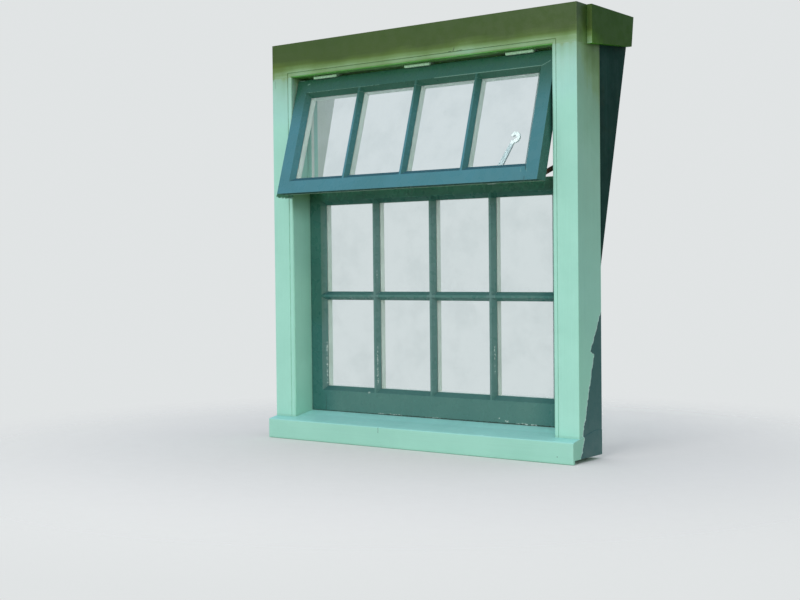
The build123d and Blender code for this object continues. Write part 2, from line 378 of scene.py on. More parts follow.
# %% Build the mark
mark_group, given, made = start_group(
    "mark along a line",
    [("Vector", VECTOR, (0, 0, 0)), ("Start", VECTOR, (0, 0, 0)), ("End", VECTOR, (0, 0, 0)),
     ("Half width", FLOAT, 0.0005), ("Wander", FLOAT, 0.002), ("Softness", FLOAT, 0.2)],
    [("Mask", FLOAT)])
shake = put(mark_group, "TexNoise", Vector=given["Vector"], Scale=160.0, Detail=3.0).outputs["Color"]
shake = move(mark_group, "SUBTRACT", shake, (0.5, 0.5, 0.5))
shaken = move(mark_group, "ADD", given["Vector"], scaled(mark_group, shake, given["Wander"]))
reach = move(mark_group, "SUBTRACT", shaken, given["Start"])
line = move(mark_group, "SUBTRACT", given["End"], given["Start"])
share = calc(mark_group, "DIVIDE", move(mark_group, "DOT_PRODUCT", reach, line, out="Value"),
             move(mark_group, "DOT_PRODUCT", line, line, out="Value"))
share = calc(mark_group, "MINIMUM", calc(mark_group, "MAXIMUM", share, 0.0), 1.0)
distance = move(mark_group, "DISTANCE", reach, scaled(mark_group, line, share), out="Value")
plug(mark_group, made["Mask"], fade(
    mark_group, calc(mark_group, "DIVIDE", distance, given["Half width"]),
    calc(mark_group, "ADD", 1.0, given["Softness"]),
    calc(mark_group, "SUBTRACT", 1.0, given["Softness"])))
print("mark along a line:", len(mark_group.nodes), "nodes")

# %% [markdown]
# ## Finishes
#
# Each finish starts from the place of a point on the piece. The upper sash stands open, so
# its brush marks and chips are worked out where the points would be with the sash closed:
# a Mapping node turns them back about the hinge pins.

# %% Start a finish
UPRIGHT = (420, 420, 6)
LEVEL = (6, 420, 420)


def new_finish(name):
    """A material with its node tree and its shader."""
    material = bpy.data.materials.new(name)
    material.use_nodes = True
    tree = material.node_tree
    return material, tree, tree.nodes["Principled BSDF"]


def where(tree, turn=unturned):
    """The place of the shaded point, turned back if the piece is turned."""
    place = put(tree, "TexCoord").outputs["Object"]
    if turn == unturned:
        return place
    back = put(tree, "Mapping", Vector=place, Location=turn.to_translation(),
               Rotation=turn.to_euler())
    return back.outputs["Vector"]


def facing(tree, turn=unturned):
    """The X, Y and Z of the shaded point's normal, turned back if the piece is turned."""
    normal = put(tree, "NewGeometry").outputs["Normal"]
    if turn != unturned:
        back = put(tree, "Mapping", Vector=normal, Rotation=turn.to_euler())
        back.vector_type = "VECTOR"
        normal = back.outputs["Vector"]
    return split(tree, normal)


print("a finish can be started, with upright or level brush marks")

# %% [markdown]
# Two more helpers serve most finishes. One joins several marks into one mask. The other
# hands the shader its colour and roughness, and a bump: that only changes how the light
# falls, which is enough for ridges as low as these.

# %% Join marks and end a finish
def marks(tree, place, lines, softness=0.2):
    """One mask for several marks, each given by its start, end, half width and wander in mm."""
    mask = None
    for start, end, half_width, wander in lines:
        one = place_group(tree, mark_group, Vector=place, Start=Vector(start) * MM,
                          End=Vector(end) * MM, Half_width=half_width * MM,
                          Wander=wander * MM, Softness=softness)["Mask"]
        mask = one if mask is None else calc(tree, "MAXIMUM", mask, one)
    return mask


def set_finish(tree, shader, colour, roughness, height, depth, strength=0.6):
    """Gives the shader its colour and roughness, and a bump that is depth metres high."""
    plug(tree, shader.inputs["Base Color"], colour)
    plug(tree, shader.inputs["Roughness"], roughness)
    bump = put(tree, "Bump", Height=height, Strength=strength, Distance=depth)
    plug(tree, shader.inputs["Normal"], bump.outputs["Normal"])


print("a finish can be ended")

# %% [markdown]
# ## The frame's pale green
#
# The frame is a pale green gloss, chalky with age. Each colour below covers the paint or
# tints it: a tint is multiplied into what lies under it, so its numbers are near 1. Faces
# that look sideways or down get a painted shade, faces that look up a bluer painted sky
# light, and the sill is a little darker low down. Under the head, the faces that look down
# get a greener painted shade. Inside, the jambs are lighter low down, and just under the
# open sash's lower edge a dark green painted shadow of the sash lies across them.

# %% Choose the frame's colours
FRESH = paint_of(0.380, 0.730, 0.600)
CHALKY = paint_of(0.345, 0.680, 0.555)
# Worn paint, and a painted highlight where the arrises are lightened.
WORN_PALE_AND_HIGHLIGHT = paint_of(0.560, 0.800, 0.720)
# Green dirt and painted shade in the corners.
GREEN_DIRT_AND_SHADE = paint_of(0.060, 0.180, 0.050)
# Dark cracks, and on the ironwork dirt with painted shade in the gaps.
CRACK_AND_SHADE = paint_of(0.035, 0.045, 0.030)
STAIN = paint_of(0.095, 0.150, 0.020)
# A dark green mark on the jamb.
DARK_GREEN_MARK = paint_of(0.030, 0.125, 0.065)
OLD_COAT = paint_of(0.030, 0.120, 0.112)
# A painted highlight along the ridge at the edge of the pale green.
RIDGE_HIGHLIGHT_PALE = paint_of(0.680, 0.860, 0.800)

# Painted shade: a darker tint for faces that look sideways or down.
FRAME_SIDE_SHADE = paint_of(0.83, 0.92, 0.84)
# Painted sky light: a bluer tint for faces that look up.
SKY_LIGHT_ON_TOPS = paint_of(0.96, 1.06, 1.20)
# A darker tint for the frame below 54 mm, on the sill.
SILL_DARKER_LOW = paint_of(0.90, 0.91, 0.90)
# Painted shade: a greener tint for the faces that look down under the head.
UNDER_HEAD_SHADE = paint_of(1.00, 1.80, 1.00)
# Painted shade: a darker, yellower tint for the returns' sides.
RETURN_SIDE_SHADE = paint_of(0.68, 0.95, 0.33)
# Painted shadow of the open sash across the jambs' inner sides.
REVEAL_SASH_SHADOW = paint_of(0.23, 0.26, 0.10)
# A lighter tint for the jambs' inner sides low down.
REVEAL_LIGHTER_LOW = paint_of(1.20, 1.16, 1.14)
print("the fresh paint is", FRESH)

# %% [markdown]
# The frame's upper end never dries, so a yellow-green bloom has settled on the head and
# fades down the jambs. Its darkest stops, at the top of the head, are painted shade as well.
# It is a tint from a colour ramp along the height. Surfaces that face sideways or down get
# painted shade from it: for them the ramp is read at a greater height, most of all at their
# back, so it reaches further down. Noise that is stretched like the brush marks draws it
# out into streaks.

# %% Let the bloom and its painted shade fade down
# The darkest stops, at the top of the head, are painted shade as well as bloom.
BLOOM_AND_SHADE = [(0.86, (1.0, 1.0, 1.0)), (0.90, (0.99, 0.95, 1.00)), (0.94, (0.96, 0.90, 0.92)),
         (0.96, (0.94, 0.85, 0.86)), (0.98, (0.83, 0.77, 0.72)), (1.00, (0.73, 0.65, 0.56)),
         (1.01, (0.62, 0.53, 0.33)), (1.02, (0.41, 0.365, 0.15)), (1.035, (0.24, 0.215, 0.052)),
         (1.048, (0.155, 0.140, 0.035)), (1.13, (0.130, 0.130, 0.032))]
BLOOM_AND_SHADE_LOW = BLOOM_AND_SHADE[0][0]
BLOOM_AND_SHADE_HIGH = BLOOM_AND_SHADE[-1][0]
HEAD_FOOT = 1.0
# Faces that look sideways or down read the ramp higher, which paints shade on them.
SIDE_LIFT = 0.014
SIDE_LIFT_BELOW = 0.80
SIDE_LIFT_ABOVE = -0.5
SIDE_LIFT_BACK = 0.12
STREAK_SCALE = 0.12
STREAKS_IN_FRONT = 0.046
STREAKS_BESIDE = 0.020
BLOTCHES_PER_METRE = 9.0
BLOTCH_LIFT = 0.034
SHADE_IN_FRONT = 0.4


def read_ramp(tree, share, points):
    """Reads a colour ramp, given as points of a share between 0 and 1 and a colour."""
    ramp = put(tree, "ValToRGB", Fac=share)
    stops = ramp.color_ramp.elements
    for stop, (at, colour) in zip(stops, (points[0], points[-1])):
        stop.position = at
        stop.color = paint_of(*colour)
    for at, colour in points[1:-1]:
        stops.new(at).color = paint_of(*colour)
    return ramp.outputs["Color"]


def bloom_and_shade_at(tree, place, grain, sideways, shade):
    """How much of each colour the bloom and the painted shade leave."""
    axes = split(tree, place)
    below = calc(tree, "MAXIMUM", calc(tree, "SUBTRACT", HEAD_FOOT, axes["Z"]), 0.0)
    above = calc(tree, "MAXIMUM", calc(tree, "SUBTRACT", axes["Z"], HEAD_FOOT), 0.0)
    back = calc(tree, "MINIMUM", axes["Y"], JAMB_DEPTH)
    lift = calc(tree, "MULTIPLY_ADD", below, SIDE_LIFT_BELOW, SIDE_LIFT)
    lift = calc(tree, "MULTIPLY_ADD", above, SIDE_LIFT_ABOVE, lift)
    lift = calc(tree, "MULTIPLY_ADD", back, SIDE_LIFT_BACK, lift)
    height = calc(tree, "MULTIPLY_ADD", sideways, lift, axes["Z"])
    streaks = cloud(tree, move(tree, "MULTIPLY", place, grain), STREAK_SCALE, 4.0)
    streaks = times(tree, calc(tree, "SUBTRACT", streaks, 0.5),
                    fade(tree, sideways, 0.0, 1.0, STREAKS_IN_FRONT, STREAKS_BESIDE))
    blotches = calc(tree, "SUBTRACT", cloud(tree, place, BLOTCHES_PER_METRE, 3.0), 0.5)
    uneven = calc(tree, "MULTIPLY_ADD", blotches, BLOTCH_LIFT, streaks)
    shaded = calc(tree, "MULTIPLY_ADD", sideways, (1 - SHADE_IN_FRONT) * shade,
                  SHADE_IN_FRONT * shade)
    height = calc(tree, "ADD", height, calc(tree, "ADD", uneven, shaded))
    share = put(tree, "MapRange", Value=height, From_Min=BLOOM_AND_SHADE_LOW, From_Max=BLOOM_AND_SHADE_HIGH)
    return read_ramp(tree, share.outputs["Result"],
                     [((level - BLOOM_AND_SHADE_LOW) / (BLOOM_AND_SHADE_HIGH - BLOOM_AND_SHADE_LOW), left)
                      for level, left in BLOOM_AND_SHADE])


print("the bloom starts", BLOOM_AND_SHADE_LOW, "m above the ground")

# %% [markdown]
# The part of the jambs and sill that is built in keeps an older dark green coat. The pale
# green was cut in by hand, so its edge is scalloped, leans back with two steps in it and
# ends in a thick ridge, painted paler along it as a highlight. The edge is given as depths
# at some heights, in mm, and a second ramp reads them.

# %% Cut in the pale green
CUT_IN = [(0, 6), (50, 25), (55, 17), (117, 37), (177, 54), (249, 76), (258, 58), (297, 81),
          (341, 105), (380, 130)]
CUT_IN_HEIGHT = 400.0
CUT_IN_DEPTH = 150.0
CUT_SOFTNESS = 0.3 * MM
SCALLOPS_PER_METRE = 75.0
SCALLOP_DEPTH = 16 * MM
RIDGE = 4 * MM
OUTER_SIDE = 489 * MM


def built_in(tree, place):
    """Masks the outer sides behind the edge of the pale green, and the ridge before it."""
    axes = split(tree, place)
    edge = read_ramp(tree, calc(tree, "DIVIDE", axes["Z"], CUT_IN_HEIGHT * MM),
                     [(height / CUT_IN_HEIGHT, [depth / CUT_IN_DEPTH] * 3)
                      for height, depth in CUT_IN])
    depth = put(tree, "SeparateColor", Color=edge).outputs["Red"]
    scallop = calc(tree, "MULTIPLY_ADD", cloud(tree, place, SCALLOPS_PER_METRE, 4.0, 0.7),
                   SCALLOP_DEPTH, -SCALLOP_DEPTH / 2)
    past = calc(tree, "SUBTRACT", axes["Y"], times(tree, depth, CUT_IN_DEPTH * MM))
    past = calc(tree, "ADD", past, scallop)
    behind = fade(tree, past, -CUT_SOFTNESS, CUT_SOFTNESS)
    ridge_and_highlight = fade(tree, past, -RIDGE, -0.3 * RIDGE)
    outside = calc(tree, "GREATER_THAN", calc(tree, "ABSOLUTE", axes["X"]), OUTER_SIDE)
    return times(tree, behind, outside), times(tree, ridge_and_highlight, outside)


print("the older coat shows up to", CUT_IN[-1][0], "mm")

# %% [markdown]
# Cracks, rubbed edges and stains are marks along short lines. Each has its start and end,
# half its width and how far it wanders, all in mm.

# %% Place the frame's marks
FRAME_CRACKS = [
    ((-99.4, -32, 45), (-99.6, -32, 29), 0.85, 3),
    ((446.4, -32, 7.4), (446.6, -32, 7.8), 1.3, 2),
    ((135.0, 0, 1028), (131.4, 0, 1019), 1.2, 3),
    ((118, 0, 1019.2), (126, 0, 1019), 1.1, 3),
    ((142, 0, 1018.6), (160, 0, 1020), 1.0, 6),
    ((-479.5, 0, 1000), (-480, 0, 980), 0.5, 3),
]
FRAME_RUBBED = [
    ((-420, 9, 985), (-420, 10, 880), 1.2, 4),
    ((-420, 24, 990), (-420, 22, 900), 1.5, 6),
    ((420, 20, 990), (420, 18, 900), 1.5, 6),
]
FRAME_STAINS = [
    ((-472, 0, 1034), (-456, 0, 1031), 14, 22),
    ((-486, 0, 1040), (-487, 0, 1005), 5, 10),
]
# A dark green mark on the jamb, just under the open sash's lower corner.
FRAME_DARK_MARK = [
    ((-474, 0, 677), (-424, 0, 672), 6.5, 13),
]
print("marks on the frame:",
      len(FRAME_CRACKS) + len(FRAME_RUBBED) + len(FRAME_STAINS) + len(FRAME_DARK_MARK))

# %% [markdown]
# The jambs' inner sides get a painted shadow of the open sash in one band and are lighter
# below it. Such a side is found by its normal, which looks towards the middle of the window:
# X times the normal's X is negative.

# %% Mask the painted sash shadow and the lighter part below
INWARD = -0.3
SASH_SHADOW_FROM, SASH_SHADOW_TO = 0.59, 0.70
LOW_REVEAL_FROM, LOW_REVEAL_TO = 0.53, 0.40


def reveal_masks(tree, axes, normal):
    """Masks the painted sash shadow and the lighter low part of the jambs' inner sides."""
    inside = calc(tree, "LESS_THAN", times(tree, normal["X"], axes["X"]), INWARD)
    sash_shadow = times(tree, inside, fade(tree, axes["Z"], SASH_SHADOW_FROM, SASH_SHADOW_TO),
                calc(tree, "LESS_THAN", axes["Z"], SASH_SHADOW_TO))
    return sash_shadow, times(tree, inside, fade(tree, axes["Z"], LOW_REVEAL_FROM, LOW_REVEAL_TO))


print("wet up to", SASH_SHADOW_TO, "m, dry below", LOW_REVEAL_FROM, "m")

# %% [markdown]
# The layers go on in the order in which they came on the real frame: paint, wear, weather,
# bloom, dirt, and the cracks through all of them. Painted light is mixed in: highlights on
# the arrises, and shade and sky light in the tints, the bloom and the dirt. The short returns
# beside the head get a painted shade on their sides, and they have lost their gloss.

# %% Mix the frame's finishes
REVEAL_SHARE = 0.45
DIRT_AND_SHADE_FROM, DIRT_AND_SHADE_TO = 0.40, 0.95
UNDER_HEAD_FROM = 0.9
SILL_DARK_FROM, SILL_DARK_TO = 57 * MM, 54 * MM
GLOSS = 0.4
DAMP_GLOSS = 0.12


def frame_paint(name, grain, shade=0.0):
    """Pale green gloss, its grain along the piece, the bloom and painted shade read higher by the
    shade.
    """
    material, tree, shader = new_finish(name)
    place = where(tree)
    normal = facing(tree)
    axes = split(tree, place)
    outside = fade(tree, calc(tree, "ABSOLUTE", axes["X"]), OUTER_SIDE - 3 * MM, OUTER_SIDE,
                   REVEAL_SHARE, 1.0)
    sideways = times(tree, calc(tree, "ABSOLUTE", normal["X"]), outside)
    sideways = calc(tree, "MAXIMUM", sideways, times(tree, normal["Z"], -1.0))
    brush = place_group(tree, brush_group, Vector=place, Grain=grain)
    wear = place_group(tree, wear_group, Vector=place, Radius=2.2 * MM, Patchiness=0.46)["Edge"]
    # Dirt and painted shade in the corners, more of both higher up.
    dirt_and_shade = place_group(tree, dirt_and_shade_group, Vector=place, Reach=16 * MM, Amount=0.6)["Dirt and shade"]
    dirt_and_shade = times(tree, dirt_and_shade, fade(tree, axes["Z"], DIRT_AND_SHADE_FROM, DIRT_AND_SHADE_TO, 0.3, 0.9))
    sash_shadow, low_reveal = reveal_masks(tree, axes, normal)
    # Painted shade under the head, on the faces that look down.
    under_head = times(tree, fade(tree, normal["Z"], -0.5, -0.7),
                      calc(tree, "GREATER_THAN", axes["Z"], UNDER_HEAD_FROM))
    # Painted light among these layers: highlights on the arrises, and shade and sky light in the
    # tints, bloom and dirt.
    colour = layered(
        tree, over(tree, brush["Tone"], CHALKY, FRESH),
        (times(tree, wear, 0.5), WORN_PALE_AND_HIGHLIGHT, COVER),
        (sideways, FRAME_SIDE_SHADE, TINT),
        (calc(tree, "MAXIMUM", normal["Z"], 0.0), SKY_LIGHT_ON_TOPS, TINT),
        (sash_shadow, REVEAL_SASH_SHADOW, TINT),
        (low_reveal, REVEAL_LIGHTER_LOW, TINT),
        (under_head, UNDER_HEAD_SHADE, TINT),
        (fade(tree, axes["Z"], SILL_DARK_FROM, SILL_DARK_TO), SILL_DARKER_LOW, TINT),
        (times(tree, marks(tree, place, FRAME_RUBBED), 0.6), WORN_PALE_AND_HIGHLIGHT, COVER),
        (1.0, bloom_and_shade_at(tree, place, grain, sideways, shade), TINT),
        (dirt_and_shade, GREEN_DIRT_AND_SHADE, COVER),
        (times(tree, marks(tree, place, FRAME_STAINS, 0.9), 0.45), STAIN, COVER),
        (marks(tree, place, FRAME_DARK_MARK, 0.3), DARK_GREEN_MARK, COVER),
        (times(tree, marks(tree, place, FRAME_CRACKS, 0.4), 0.75), CRACK_AND_SHADE, COVER))
    height = brush["Height"]
    # The returns get a painted shade on their sideways faces and have no built-in part.
    if shade:
        colour = over(tree, sideways, colour, RETURN_SIDE_SHADE, TINT)
    else:
        old, ridge_and_highlight = built_in(tree, place)
        # The ridge is raised, and painted paler as a highlight.
        colour = layered(tree, colour, (times(tree, ridge_and_highlight, 0.6), RIDGE_HIGHLIGHT_PALE, COVER),
                         (old, OLD_COAT, COVER))
        height = calc(tree, "ADD", height, times(tree, ridge_and_highlight, 1.5))
        height = calc(tree, "SUBTRACT", height, times(tree, old, 2.5))
    rough = fade(tree, brush["Gloss"], 0.0, 1.0, 0.30, 0.46)
    rough = calc(tree, "MULTIPLY_ADD", dirt_and_shade, 0.4, rough)
    set_finish(tree, shader, colour, rough, height, 0.25 * MM)
    shader.inputs["Specular IOR Level"].default_value = DAMP_GLOSS if shade else GLOSS
    return material


frame_upright = frame_paint("frame_paint_upright", UPRIGHT)
frame_level = frame_paint("frame_paint_level", LEVEL)
return_finish = frame_paint("frame_paint_returns", LEVEL, 0.006)
print("pale green:", len(frame_upright.node_tree.nodes), "nodes")

# %% [markdown]
# ## The sashes' dark green
#
# The sashes are a dark blue-green gloss. The first colours cover it: undercoat, rubbed
# paint with painted highlights, dirt with painted shade, and chalk, which on the upper sash
# is a painted sky reflection. The others tint it, and all of these darken: painted shade
# near the top, on the stiles, on the outer sides and on the upper sash's underside, and a
# bluer tint on the slopes that face up.

# %% Choose the sashes' colours
DEEP = paint_of(0.034, 0.138, 0.124)
DEEP_WORN = paint_of(0.048, 0.172, 0.156)
UNDERCOAT = paint_of(0.620, 0.720, 0.650)
# Rubbed paint, and a painted highlight where the arrises are lightened.
RUBBED_AND_HIGHLIGHT = paint_of(0.130, 0.300, 0.270)
# Rubbed paint, and painted highlights along the arrises.
RUBBED_PALE_AND_HIGHLIGHT = paint_of(0.230, 0.420, 0.330)
# Dirt and painted shade in the corners, and dark cracks.
SASH_DIRT_AND_SHADE = paint_of(0.016, 0.034, 0.022)
# Painted highlight along the rear arris of the upper sash's underside.
REAR_HIGHLIGHT_GREEN = paint_of(0.180, 0.310, 0.200)
RAIL_CHALK = paint_of(0.080, 0.200, 0.172)
BARS_CHALK = paint_of(0.120, 0.230, 0.208)
# Painted sky reflection: a paler blue for the upper sash's front.
UPPER_SKY_SHEEN = paint_of(0.062, 0.216, 0.258)

# Painted shade: a darker tint towards the top of each sash.
TOP_SHADE = paint_of(0.500, 0.610, 0.380)
# Painted shade: a darker tint on the lower sash's stiles.
STILE_SHADE = paint_of(0.76, 0.80, 0.69)
# Painted shade: a darker tint on the faces that look out of a sash's sides.
SASH_SIDE_SHADE = paint_of(0.70, 0.80, 0.70)
# A darker, bluer tint for the faces of a sash that look up.
LOWER_SLOPED = paint_of(0.60, 0.74, 0.76)
UPPER_SLOPED = paint_of(0.42, 0.60, 0.72)
# Painted shade on the upper sash's underside.
UPPER_UNDER_SHADE = paint_of(0.16, 0.48, 0.36)
print("the sashes' paint is", DEEP)

# %% [markdown]
# Old white undercoat shows at the arrises and in chips along the lower rail and the bars,
# and a dark crack follows the joint with the sill. Some of the rubbed lines are painted
# highlights along arrises. The marks are placed one by one, because they are what makes
# this sash this one. Those of the upper sash are given as if it were closed.

# %% Place the sashes' marks
LOWER_CHIPS = [
    ((-371, 86, 257), (-371, 86, 140), 1.8, 8),
    ((-184, 80, 250), (-184, 80, 148), 1.8, 8),
    ((199, 81, 262), (199, 81, 190), 1.7, 8),
    ((-213, 75, 122), (-211, 75, 122.5), 2.4, 2),
    ((-180, 75, 66.5), (-100, 75, 66), 0.9, 4),
    ((214, 75, 76), (215, 75, 76.5), 1.4, 1),
    ((234, 75, 70.5), (242, 75, 69.5), 2.0, 4),
    ((268, 75, 66.2), (330, 75, 65.4), 1.3, 5),
    ((-20, 75, 65.5), (34, 75, 65.5), 0.6, 4),
    ((204, 75, 205), (203, 75, 199), 1.0, 3),
    ((-184, 80, 462), (-184, 80, 440), 1.0, 6),
]
LOWER_RUBBED = [
    ((-293, 75, 141), (-241, 75, 141.5), 2.0, 6),
    ((241, 75, 140), (287, 75, 141), 1.4, 8),
]
LOWER_CRACKS = [
    ((-418, 75, 63.6), (-150, 75, 64.0), 1.1, 3),
    ((-150, 75, 64.0), (418, 75, 63.8), 1.7, 4),
    ((-368, 75, 108), (-368, 75, 66), 0.5, 1),
]
UPPER_CHIPS = [
    ((298, 31, 963.5), (299, 31, 963.5), 1.1, 2),
]
# Rubbed paint, and painted highlights along the top rail's lower arris: the long lines at 960 mm.
UPPER_RUBBED_AND_HIGHLIGHT = [
    ((-379.5, 31, 984), (-373, 31, 986), 1.7, 2),
    ((-413, 31, 997.5), (-395, 31, 997), 0.8, 3),
    ((366, 31, 693), (368, 31, 684), 0.5, 3),
    ((60, 31, 960), (378, 31, 960.4), 1.0, 2),
    ((-376, 31, 959.6), (-120, 31, 959.6), 0.6, 3),
    ((381, 31, 959.5), (405, 31, 971), 0.9, 3),
    ((384, 31, 692), (385, 31, 684), 0.5, 2),
]
UPPER_CRACKS = [
    ((380, 31, 699), (380.5, 31, 689), 0.7, 1),
    ((380, 31, 672), (380.5, 31, 664), 0.6, 1),
    ((-415.4, 31, 683.2), (-415, 31, 683.4), 1.3, 1),
]
# A painted highlight along the rear arris of the upper sash's underside.
REAR_ARRIS_HIGHLIGHT = [
    ((-410, 70, 671.5), (410, 70, 671.5), 11, 4),
]
print("chips on the sashes:", len(LOWER_CHIPS) + len(UPPER_CHIPS))

# %% [markdown]
# Gloss that has stood in the weather for years goes chalky: it turns paler and bluer. The
# lower sash has done so on its bars, its bottom rail and the slopes beside its panes. On the
# upper sash the same kind of mask paints a blue sky reflection on its front, most at its
# lower end and to the left.

# %% Mask the chalk and the painted sky reflection
SLOPE_CHALK = 0.8
CHALK_END = 380 * MM
CHALK_FULL = 310 * MM
SLOPE_END = 384 * MM
TOP_RAIL = 646 * MM
# The painted sky reflection on the upper sash grows towards its lower end and its left.
UPPER_SHEEN_FROM, UPPER_SHEEN_TO = 0.97, 0.80
UPPER_SHEEN_LEAN = 0.05
RIGHT_STILE = 367 * MM
RIGHT_SHEEN = 0.86
LEFT_SHEEN = 1.15


def lower_chalk(tree, axes, normal):
    """Where the lower sash has gone chalky."""
    away = calc(tree, "ABSOLUTE", axes["X"])
    sloping = calc(tree, "GREATER_THAN", calc(tree, "ABSOLUTE", normal["X"]), 0.3)
    sloping = times(tree, sloping, fade(tree, away, SLOPE_END, SLOPE_END - 2 * MM, 0.0,
                                        SLOPE_CHALK))
    across = calc(tree, "MAXIMUM", sloping, fade(tree, away, CHALK_END, CHALK_FULL))
    return times(tree, across, fade(tree, axes["Z"], TOP_RAIL, TOP_RAIL - 2 * MM))


def upper_sky_sheen(tree, axes, normal):
    """Where the upper sash gets its painted sky reflection."""
    front = fade(tree, normal["Y"], -0.45, -0.9)
    height = calc(tree, "MULTIPLY_ADD", axes["X"], UPPER_SHEEN_LEAN, axes["Z"])
    level = fade(tree, height, UPPER_SHEEN_FROM, UPPER_SHEEN_TO, 0.10, 0.96)
    level = times(tree, level, fade(tree, axes["X"], 0.10, -0.42, 1.0, LEFT_SHEEN))
    right = fade(tree, axes["X"], RIGHT_STILE, RIGHT_STILE + 4 * MM, 1.0, RIGHT_SHEEN)
    return times(tree, front, level, right)


print("chalk has its masks")

# %% [markdown]
# One recipe paints both sashes, and a table gives what differs: how the sash is turned,
# below which height a face counts as its underside, between which heights its painted shade
# grows towards its top, where the rain doesn't reach, how much painted shade its stiles get,
# its colours and its marks. The underside of the upper sash has a painted highlight along
# its rear edge.

# %% Give each sash its look
SASH_LOOKS = {
    "lower": {
        "turn": unturned, "low": 74 * MM, "top_shade": (0.610, 0.680), "stile_shade": 1.0,
        "chalk_and_sheen_mask": lower_chalk, "chalk_and_sheen": {"level": RAIL_CHALK, "upright": BARS_CHALK},
        "sloped": LOWER_SLOPED, "under": LOWER_SLOPED, "edge": [],
        "chips": LOWER_CHIPS, "rubbed_and_highlight": LOWER_RUBBED, "cracks": LOWER_CRACKS},
    "upper": {
        "turn": closing, "low": 674 * MM, "top_shade": (0.860, 0.985), "stile_shade": 0.0,
        "chalk_and_sheen_mask": upper_sky_sheen, "chalk_and_sheen": {"level": UPPER_SKY_SHEEN, "upright": UPPER_SKY_SHEEN},
        "sloped": UPPER_SLOPED, "under": UPPER_UNDER_SHADE, "edge": REAR_ARRIS_HIGHLIGHT,
        "chips": UPPER_CHIPS, "rubbed_and_highlight": UPPER_RUBBED_AND_HIGHLIGHT, "cracks": UPPER_CRACKS},
}
print("sashes in the table:", ", ".join(SASH_LOOKS))

# %% [markdown]
# The layers are gloss, chalk and painted sky reflection, wear with painted highlights,
# painted shade, dirt with painted shade, and last the chips. A chip could be cut into the
# mesh, but the paint is thinner than a sheet of card. So it is a mark that fine noise breaks
# up, in the undercoat's colour, and the bump is lower there.

# %% Mix the sashes' finishes
OUTWARD = 0.3
STILE_FROM, STILE_TO = 365 * MM, 381 * MM
STILE_SHADE_FROM, STILE_SHADE_TO = 0.29, 0.34
STILE_SHADE_FOOT = 0.3
CHIP_SPECKLES_PER_METRE = 260.0


def sash_paint(name, way, grain, look):
    """Dark green gloss with chips to the undercoat."""
    material, tree, shader = new_finish(name)
    place = where(tree, look["turn"])
    normal = facing(tree, look["turn"])
    axes = split(tree, place)
    brush = place_group(tree, brush_group, Vector=place, Grain=grain)
    wear = place_group(tree, wear_group, Vector=place, Radius=1.6 * MM, Patchiness=0.52)["Edge"]
    bare = place_group(tree, wear_group, Vector=place, Radius=1.2 * MM, Patchiness=0.68)["Edge"]
    dirt_and_shade = place_group(tree, dirt_and_shade_group, Vector=place, Reach=12 * MM, Amount=0.55)["Dirt and shade"]
    uneven = fade(tree, cloud(tree, place, 12.0, 3.0), 0.2, 0.8, 0.7, 1.0)
    # Painted shade on the lower sash's stiles, stronger above 0.34 m.
    stile = fade(tree, calc(tree, "ABSOLUTE", axes["X"]), STILE_FROM, STILE_TO)
    stile = times(tree, stile, fade(tree, axes["Z"], STILE_SHADE_FROM, STILE_SHADE_TO, STILE_SHADE_FOOT, look["stile_shade"]))
    # Painted shade on the faces that look out of the sash's sides.
    outer = calc(tree, "GREATER_THAN", times(tree, normal["X"], axes["X"]), OUTWARD)
    # The faces that look up get a darker, bluer tint.
    facing_up = fade(tree, normal["Z"], 0.45, 0.65)
    # The underside: the upper sash gets a painted shade there, the lower sash the slopes' tint.
    under = times(tree, calc(tree, "LESS_THAN", axes["Z"], look["low"]),
                  fade(tree, normal["Z"], -0.5, -0.7))
    sloped = calc(tree, "MAXIMUM", facing_up, under)
    dirt_and_shade = times(tree, dirt_and_shade, fade(tree, sloped, 0.0, 1.0, 1.0, 0.4))
    # Painted light in these layers: shade at the top, on stiles, sides and the upper underside, sky
    # reflection in the upper chalk, highlights on arrises.
    colour = layered(
        tree, over(tree, times(tree, brush["Tone"], 0.55), DEEP, DEEP_WORN),
        (times(tree, uneven, look["chalk_and_sheen_mask"](tree, axes, normal)), look["chalk_and_sheen"][way], COVER),
        (times(tree, wear, 0.4), RUBBED_AND_HIGHLIGHT, COVER),
        (stile, STILE_SHADE, TINT),
        (outer, SASH_SIDE_SHADE, TINT),
        (fade(tree, axes["Z"], *look["top_shade"]), TOP_SHADE, TINT),
        (times(tree, marks(tree, place, look["rubbed_and_highlight"]), 0.5), RUBBED_PALE_AND_HIGHLIGHT, COVER),
        (facing_up, look["sloped"], TINT),
        (under, look["under"], TINT),
        (dirt_and_shade, SASH_DIRT_AND_SHADE, COVER),
        (marks(tree, place, look["cracks"]), SASH_DIRT_AND_SHADE, COVER))
    # The painted highlight along the rear arris.
    if look["edge"]:
        behind = times(tree, marks(tree, place, look["edge"]), under)
        colour = over(tree, behind, colour, REAR_HIGHLIGHT_GREEN)
    speckled = fade(tree, cloud(tree, place, CHIP_SPECKLES_PER_METRE), 0.46, 0.54)
    chipped = times(tree, marks(tree, place, look["chips"]), 0.75, speckled)
    chipped = calc(tree, "MAXIMUM", times(tree, bare, 0.4), chipped)
    colour = over(tree, chipped, colour, UNDERCOAT)
    rough = fade(tree, brush["Gloss"], 0.0, 1.0, 0.22, 0.38)
    rough = calc(tree, "MULTIPLY_ADD", calc(tree, "MAXIMUM", dirt_and_shade, sloped), 0.5, rough)
    relief = calc(tree, "SUBTRACT", brush["Height"], times(tree, chipped, 1.5))
    set_finish(tree, shader, colour, rough, relief, 0.22 * MM)
    shader.inputs["Specular IOR Level"].default_value = GLOSS
    return material


sash_finish = {}
for light, look in SASH_LOOKS.items():
    for way, grain in (("upright", UPRIGHT), ("level", LEVEL)):
        sash_finish[light, way] = sash_paint(f"sash_paint_{light}_{way}", way, grain, look)
print("dark green:", sorted(sash_finish))

